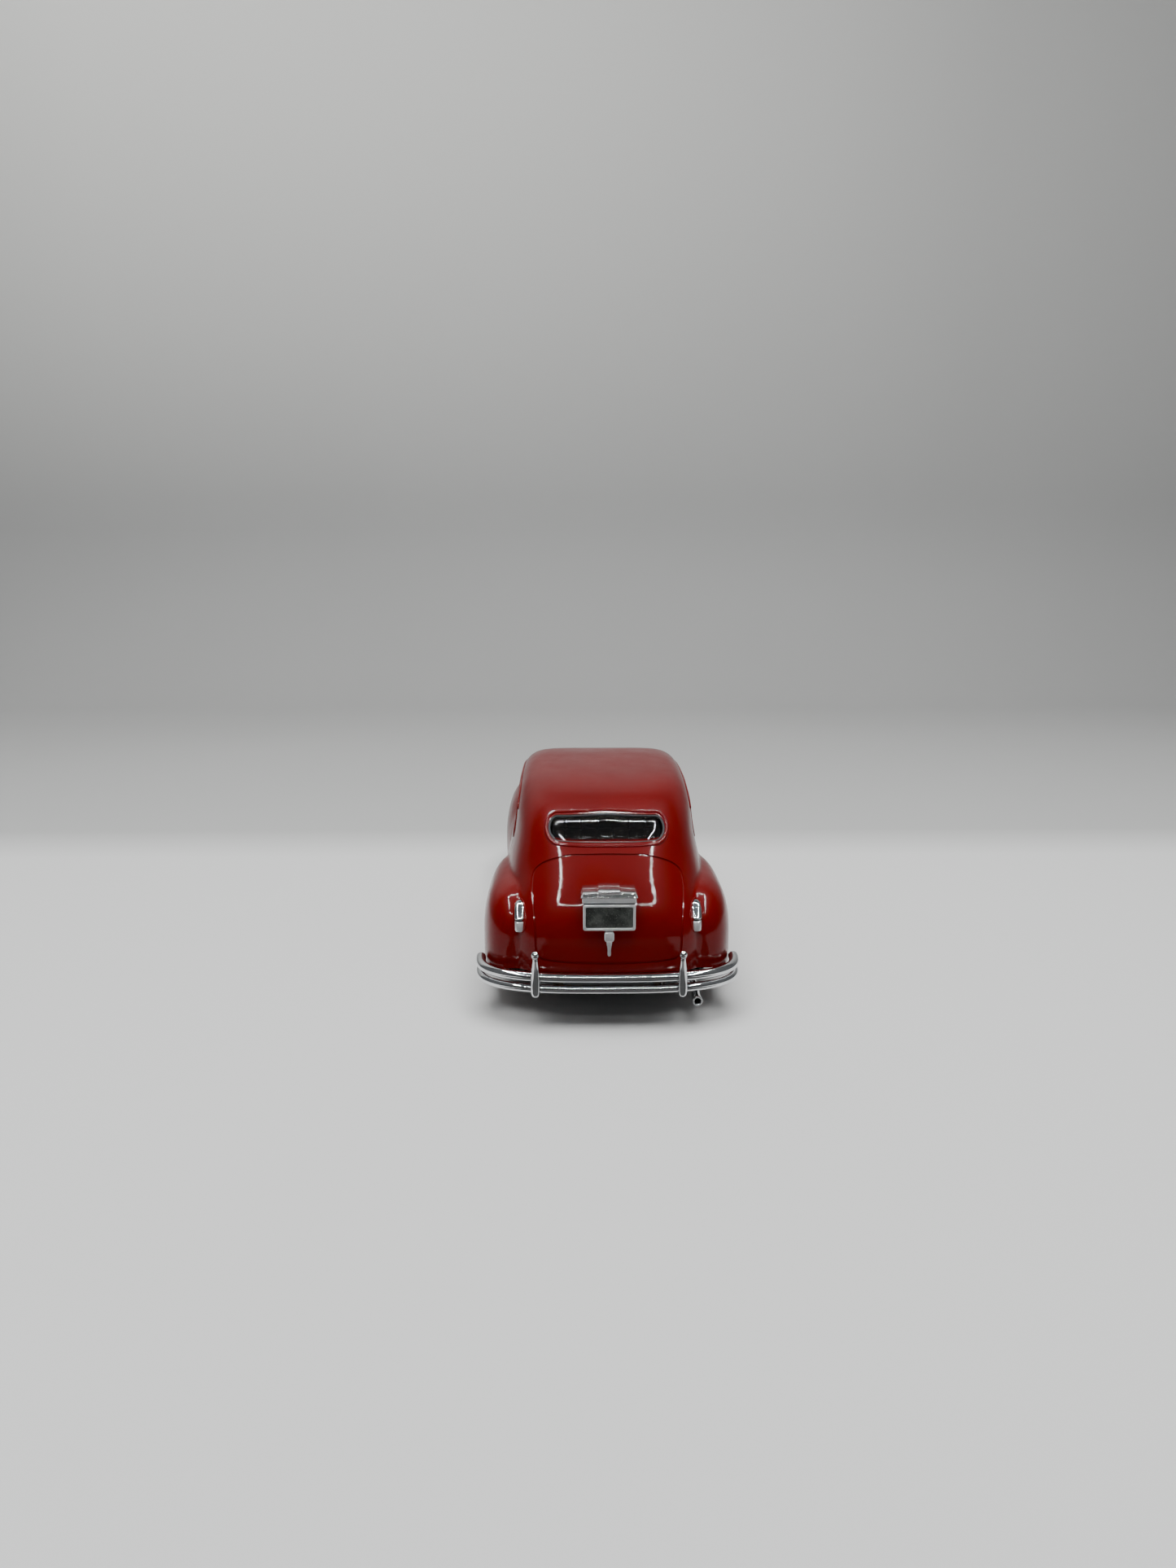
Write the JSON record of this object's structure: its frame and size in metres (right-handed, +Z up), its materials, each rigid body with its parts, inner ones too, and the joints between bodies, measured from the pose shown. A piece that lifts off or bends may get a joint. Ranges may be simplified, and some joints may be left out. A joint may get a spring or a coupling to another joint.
{
  "type": "friction-drive model car",
  "caption": "Model sedan with a cast body, bright bumpers and trim, glazed cabin and a geared flywheel friction motor on its rear axle.",
  "frame": {"origin": "on the ground, at the centre of the footprint between the two bumper tips", "axes": "+X the way the car drives, +Y its left side, +Z up"},
  "size_m": [0.1224, 0.049, 0.04],
  "materials": {
    "body_paint": "deep red gloss enamel over cast metal",
    "glazing": "clear moulded glazing",
    "lamp_glass": "clear ribbed lens",
    "tyre_rubber": "matt black rubber",
    "cabin_plastic": "matt tan plastic",
    "wheel_plastic": "ivory plastic",
    "chassis_paint": "satin black enamel over cast metal",
    "bare_steel": "plain steel",
    "motor_brass": "stamped brass",
    "flywheel_iron": "turned cast metal",
    "bright_trim": "bright vacuum plating"
  },
  "bodies": {
    "car": {"body_shell": "body_paint", "windshield_pane": "glazing", "rear_window_pane": "glazing", "side_pane_left": "glazing", "side_pane_right": "glazing", "rear_bumper": "bright_trim", "front_bumper": "bright_trim", "radiator_grille": "bright_trim", "hood_ornament": "bright_trim", "plate_bracket": "bright_trim", "trunk_handle": "bright_trim", "tail_lamp_left": "bright_trim", "tail_lamp_right": "bright_trim", "headlamp_bezel_left": "bright_trim", "headlamp_bezel_right": "bright_trim", "headlamp_lens_left": "lamp_glass", "headlamp_lens_right": "lamp_glass", "exhaust_pipe": "bright_trim", "chassis_plate": "chassis_paint", "chassis_screws": "bare_steel", "interior_tub": "cabin_plastic", "steering_wheel": "wheel_plastic", "motor_side_left": "motor_brass", "motor_side_right": "motor_brass", "motor_pillars": "motor_brass"},
    "rear_axle_set": {"rear_axle": "bare_steel", "rear_wheel_left": "bright_trim", "rear_wheel_right": "bright_trim", "rear_tyre_left": "tyre_rubber", "rear_tyre_right": "tyre_rubber", "axle_gear": "motor_brass"},
    "layshaft_set": {"layshaft": "bare_steel", "layshaft_gear": "motor_brass"},
    "flywheel_set": {"flywheel_shaft": "bare_steel", "flywheel": "flywheel_iron"},
    "front_axle_set": {"front_axle": "bare_steel", "front_wheel_left": "bright_trim", "front_wheel_right": "bright_trim", "front_tyre_left": "tyre_rubber", "front_tyre_right": "tyre_rubber"}
  },
  "joints": [
    {"name": "rear_axle_spin", "type": "hinge", "parent": "car", "child": "rear_axle_set", "pos_m": [-0.03, 0, 0.0083], "axis": [0, 1, 0], "continuous": true},
    {"name": "layshaft_spin", "type": "hinge", "parent": "car", "child": "layshaft_set", "pos_m": [-0.02418, 0, 0.01319], "axis": [0, 1, 0], "continuous": true},
    {"name": "flywheel_spin", "type": "hinge", "parent": "car", "child": "flywheel_set", "pos_m": [-0.01658, 0, 0.01319], "axis": [0, 1, 0], "continuous": true},
    {"name": "front_axle_spin", "type": "hinge", "parent": "car", "child": "front_axle_set", "pos_m": [0.041, 0, 0.0083], "axis": [0, 1, 0], "continuous": true}
  ],
  "couplings": [
    {"joint": "layshaft_spin", "follows": "rear_axle_spin", "ratio": -2.8},
    {"joint": "flywheel_spin", "follows": "rear_axle_spin", "ratio": 7.84}
  ]
}
